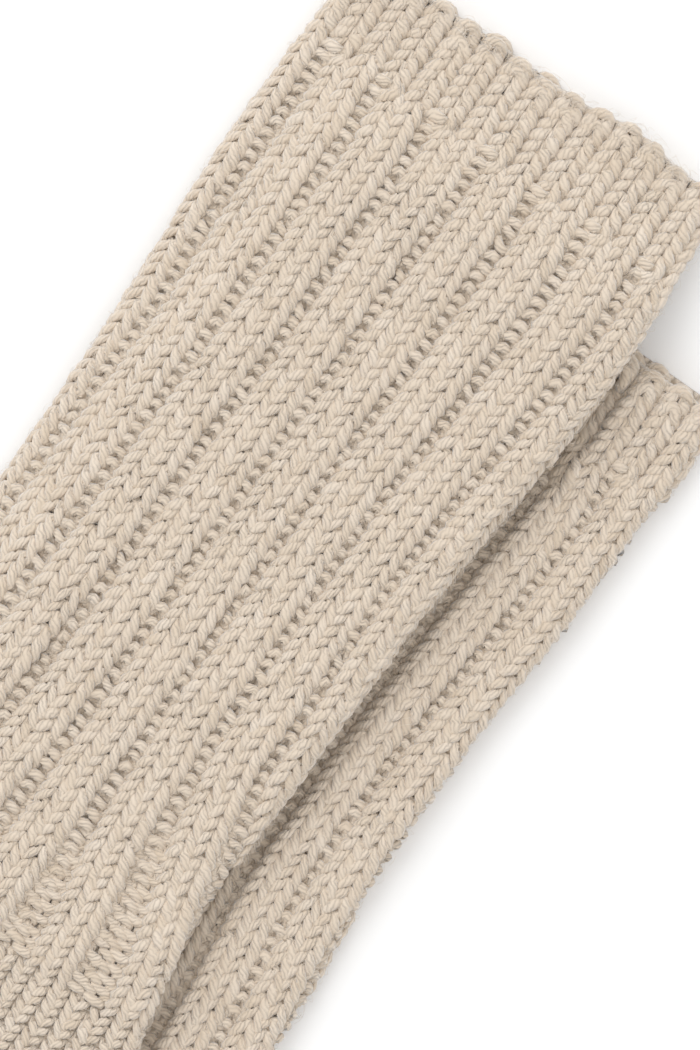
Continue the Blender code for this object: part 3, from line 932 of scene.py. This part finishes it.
def startMaterial(name, roughness, sheen):
    material = bpy.data.materials.new(name)
    material.use_nodes = True
    tree = material.node_tree
    shader = tree.nodes["Principled BSDF"]
    shader.inputs["Roughness"].default_value = roughness
    shader.inputs["Sheen Weight"].default_value = sheen
    shader.inputs["Sheen Roughness"].default_value = 0.5
    shader.inputs["Specular IOR Level"].default_value = 0.2
    return material, tree, shader


def colourRamp(tree, factor, stops):
    ramp = addNode(tree, "ShaderNodeValToRGB", Fac=factor)
    elements = ramp.color_ramp.elements
    elements[0].position, elements[0].color = stops[0][0], (*stops[0][1], 1)
    elements[1].position, elements[1].color = stops[-1][0], (*stops[-1][1], 1)
    for place, colour in stops[1:-1]:
        elements.new(place).color = (*colour, 1)
    return ramp.outputs["Color"]


# a colour times a tone
def darkened(tree, colour, tone):
    gray = addNode(tree, "ShaderNodeCombineColor", in0=tone, in1=tone, in2=tone).outputs[0]
    mix = addNode(tree, "ShaderNodeMix", {"data_type": "RGBA", "blend_type": "MULTIPLY"})
    mix.inputs["Factor"].default_value = 1.0
    tree.links.new(colour, mix.inputs["A"])
    tree.links.new(gray, mix.inputs["B"])
    return mix.outputs["Result"]


# the yarn's wool
def pliedWool():
    material, tree, shader = startMaterial("pliedWool", 0.9, 0.7)
    uv = addNode(tree, "ShaderNodeUVMap", {"uv_map": "yarn"}).outputs[0]
    split = addNode(tree, "ShaderNodeSeparateXYZ", in0=uv)
    # plies wind round the yarn as slanting ridges
    turns = maths(tree, "MULTIPLY", split.outputs[0], -1 / woolLook["plyRun"])
    wound = maths(tree, "MULTIPLY_ADD", split.outputs[1], float(woolLook["plies"]), turns)
    wander = addNode(tree, "ShaderNodeTexNoise", Vector=uv, Scale=1.1, Detail=2.0).outputs["Fac"]
    wound = maths(tree, "MULTIPLY_ADD", wander, woolLook["wander"], wound)
    wave = maths(tree, "ABSOLUTE", maths(tree, "SINE", maths(tree, "MULTIPLY", wound, math.pi)))
    ridge = maths(tree, "POWER", wave, 0.6)
    # fine fibres run along the plies, and hide them in places
    lengthways = maths(tree, "MULTIPLY", split.outputs[0], 0.6)
    crossways = maths(tree, "MULTIPLY", wound, 1.15)
    fibrePlace = addNode(tree, "ShaderNodeCombineXYZ", in0=lengthways, in1=crossways).outputs[0]
    fibre = addNode(tree, "ShaderNodeTexNoise", Vector=fibrePlace, Scale=1.0, Detail=4.0, Roughness=0.6)
    fibre = fibre.outputs["Fac"]
    teased = addNode(tree, "ShaderNodeTexNoise", Vector=uv, Scale=0.55, Detail=3.0).outputs["Fac"]
    hidden = addNode(tree, "ShaderNodeMapRange", Value=teased)
    for socket, value in zip(("From Min", "From Max", "To Min", "To Max"), woolLook["teased"]):
        hidden.inputs[socket].default_value = value
    ridge = maths(tree, "MULTIPLY_ADD", maths(tree, "SUBTRACT", ridge, 0.7), hidden.outputs[0], 0.7)
    # the shade changes slowly along the yarn and over the sock
    slub = addNode(tree, "ShaderNodeTexNoise", Vector=uv, Scale=0.16, Detail=2.0).outputs["Fac"]
    stops = [(0.33, woolLook["deep"]), (0.5, woolLook["cream"]), (0.68, woolLook["light"])]
    colour = colourRamp(tree, slub, stops)
    # painted shade: the yarn's colour is darkened in the grooves between its plies, mixed with the fine
    # fibres' own random tone
    plyShadeTone = maths(tree, "MULTIPLY", ridge, woolLook["plyShadeShare"])
    mixed = maths(tree, "MULTIPLY_ADD", fibre, woolLook["fibreShare"], plyShadeTone)
    tone = addNode(tree, "ShaderNodeMapRange", Value=mixed)
    tone.inputs["To Min"].default_value, tone.inputs["To Max"].default_value = woolLook["shade"]
    tree.links.new(darkened(tree, colour, tone.outputs[0]), shader.inputs["Base Color"])
    relief = maths(tree, "MULTIPLY_ADD", fibre, 0.6, ridge)
    bump = addNode(tree, "ShaderNodeBump", Height=relief, Strength=0.6, Distance=woolLook["plyDepth"])
    tree.links.new(bump.outputs["Normal"], shader.inputs["Normal"])
    return material


# cloth between and under the strands, with its own stitches where no strands lie on it, painted darker than
# the yarn as painted shade and darkest in the stitches' hollows
def clothWool():
    material, tree, shader = startMaterial("clothWool", 0.95, 0.2)
    count = addNode(tree, "ShaderNodeAttribute", {"attribute_name": "stitches"})
    split = addNode(tree, "ShaderNodeSeparateXYZ", in0=count.outputs["Vector"])
    # each wale is a column of slanting legs
    inWale = maths(tree, "PINGPONG", split.outputs[0], 0.5)
    slant = maths(tree, "MULTIPLY_ADD", inWale, clothLook["slant"], split.outputs[1])
    leg = maths(tree, "ABSOLUTE", maths(tree, "SINE", maths(tree, "MULTIPLY", slant, math.pi)))
    across = maths(tree, "SINE", maths(tree, "MULTIPLY", inWale, 2 * math.pi))
    rounded = maths(tree, "POWER", maths(tree, "ABSOLUTE", across), 0.5)
    relief = maths(tree, "MULTIPLY", maths(tree, "POWER", leg, 0.7), rounded)
    place = addNode(tree, "ShaderNodeTexCoord").outputs["Object"]
    noise = addNode(tree, "ShaderNodeTexNoise", Vector=place, Scale=1400.0, Detail=4.0).outputs["Fac"]
    mixed = maths(tree, "MULTIPLY_ADD", noise, 0.35, maths(tree, "MULTIPLY", relief, 0.75))
    # painted shade: the hollows between the legs get the darkest colour
    stops = [(0.0, clothLook["shadedHollow"]), (0.5, clothLook["middle"]), (1.0, clothLook["crest"])]
    tree.links.new(colourRamp(tree, mixed, stops), shader.inputs["Base Color"])
    bump = addNode(tree, "ShaderNodeBump", Height=mixed, Strength=0.8, Distance=clothLook["stitchDepth"])
    tree.links.new(bump.outputs["Normal"], shader.inputs["Normal"])
    return material


# the stray fibres' wool
def fibreWool():
    material, tree, shader = startMaterial("fibreWool", 0.8, 0.3)
    place = addNode(tree, "ShaderNodeTexCoord").outputs["Object"]
    noise = addNode(tree, "ShaderNodeTexNoise", Vector=place, Scale=300.0).outputs["Fac"]
    colour = colourRamp(tree, noise, [(0.3, fibreTones["dull"]), (0.7, fibreTones["bright"])])
    tree.links.new(colour, shader.inputs["Base Color"])
    return material


plied, cloth, fibreFinish = pliedWool(), clothWool(), fibreWool()
print("wool mixed")

# Rows of each part, the same on both socks down to the heel
ribbed, heelStart = legRows(160.0)
for row, following in zip(ribbed, ribbed[1:] + ribbed[-1:]):
    row["next"] = following["kind"]
halfway = len(ribbed) // 2
rowCounts = [sum(row["kind"] == kind for row in ribbed) for kind in ("cuff", "leg", "plain")]
print("rows of the cuff, leg and plain cloth", *rowCounts)

# the lower sock has yarn only where it shows past the upper one
for sock, under in ((lower, upper), (upper, None)):
    name, fibres = sock["name"], fibreLook[sock["name"]]
    shell = buildShell(name + "Cloth", sock)
    heel, footFrom = heelRows(sock, heelStart, sockCut["footStart"] + 8)
    foot = [{"at": at, **footRow} for at in np.arange(footFrom, yarnSize["footEnd"], yarnSize["footRow"])]
    # each part's rows, the seed of its unevenness and its kind of strand
    if under is None:
        parts = [("LegTop", ribbed[:halfway], 1, "leg"), ("LegBottom", ribbed[halfway:], 2, "leg"),
                 ("Heel", heel, 3, "foot"), ("Foot", foot, 4, "foot")]
    else:
        parts = [("Leg", ribbed, 5, "leg"), ("Foot", heel + foot, 6, "foot")]
    pieces = [yarnTubes(name + part, knitRows(sock, rows, seed, under), strandSides[kind])
              for part, rows, seed, kind in parts]
    arches = joinStrands([castOnArches(sock, 7, False), castOnArches(sock, 8, True)])
    pieces.append(yarnTubes(name + "CastOn", arches, strandSides["castOn"]))
    legFibres = strayFibres(sock, fibres, 0.0, fibreLook["legEnd"], 9, under)
    footFibres = strayFibres(sock, fibres // 4, fibreLook["legEnd"], fibreLook["footEnd"], 10, under)
    fuzz = yarnTubes(name + "Fibres", joinStrands([legFibres, footFibres]), strandSides["fibre"])
    shell.data.materials.append(cloth)
    fuzz.data.materials.append(fibreFinish)
    for piece in pieces:
        piece.data.materials.append(plied)
    for piece in (shell, fuzz, *pieces):
        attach(piece, "root")
    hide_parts(name + "_sock")
    print(name, "sock knitted")

# Table, light and camera, in metres and watts apart from the photo's millimetres
table = {"size": 8, "drop": 0.0002, "white": (0.96, 0.96, 0.96, 1)}
softKey = {"place": (-1.3, 0.9, 1.6), "aim": (0, 0, 0), "size": 1.6, "power": 18}
studioLight = 0.96
photo = {
    "pixelsPerMm": 7.0,
    "high": 1050,
    "turn": 35.0,
    "middle": (13.71, -68.57),
    "distance": 1500.0,
    "level": 8.0,            # height of the cloth that the scale holds for
}


def makeFloor():
    bpy.ops.mesh.primitive_plane_add(size=table["size"], location=(0, 0, -table["drop"]))
    floor = bpy.context.object
    floor.name = "whiteTable"
    material = bpy.data.materials.new("whiteTable")
    material.use_nodes = True
    shader = material.node_tree.nodes["Principled BSDF"]
    shader.inputs["Base Color"].default_value = table["white"]
    shader.inputs["Roughness"].default_value = 0.9
    floor.data.materials.append(material)


# one large lamp from the picture's top left, and white light all round
def makeLight():
    data = bpy.data.lights.new("softKey", "AREA")
    data.shape = "SQUARE"
    data.size = softKey["size"]
    data.energy = softKey["power"]
    light = bpy.data.objects.new("softKey", data)
    light.location = softKey["place"]
    line = Vector(softKey["aim"]) - Vector(softKey["place"])
    light.rotation_euler = line.to_track_quat("-Z", "Y").to_euler()
    bpy.context.scene.collection.objects.link(light)
    world = bpy.data.worlds.new("studio")
    bpy.context.scene.world = world
    world.use_nodes = True
    back = world.node_tree.nodes["Background"]
    back.inputs["Color"].default_value = (1.0, 1.0, 1.0, 1)
    back.inputs["Strength"].default_value = studioLight


# straight down, turned so that the legs slant as in the photo
def makeCamera():
    data = bpy.data.cameras.new("photoCamera")
    camera = bpy.data.objects.new("photoCamera", data)
    high = photo["high"] / photo["pixelsPerMm"]
    data.sensor_width = 36
    data.lens = data.sensor_width * photo["distance"] / high
    middle = np.array(photo["middle"]) - pairMiddle[:2]
    camera.location = (middle[0] * mm, middle[1] * mm, (photo["distance"] + photo["level"]) * mm)
    camera.rotation_euler = (0, 0, math.radians(photo["turn"]))
    data.clip_start = 0.05
    data.clip_end = 50
    bpy.context.scene.collection.objects.link(camera)
    bpy.context.scene.camera = camera


makeFloor()
makeLight()
makeCamera()
bpy.context.scene.view_settings.view_transform = "Standard"

print("socks finished")
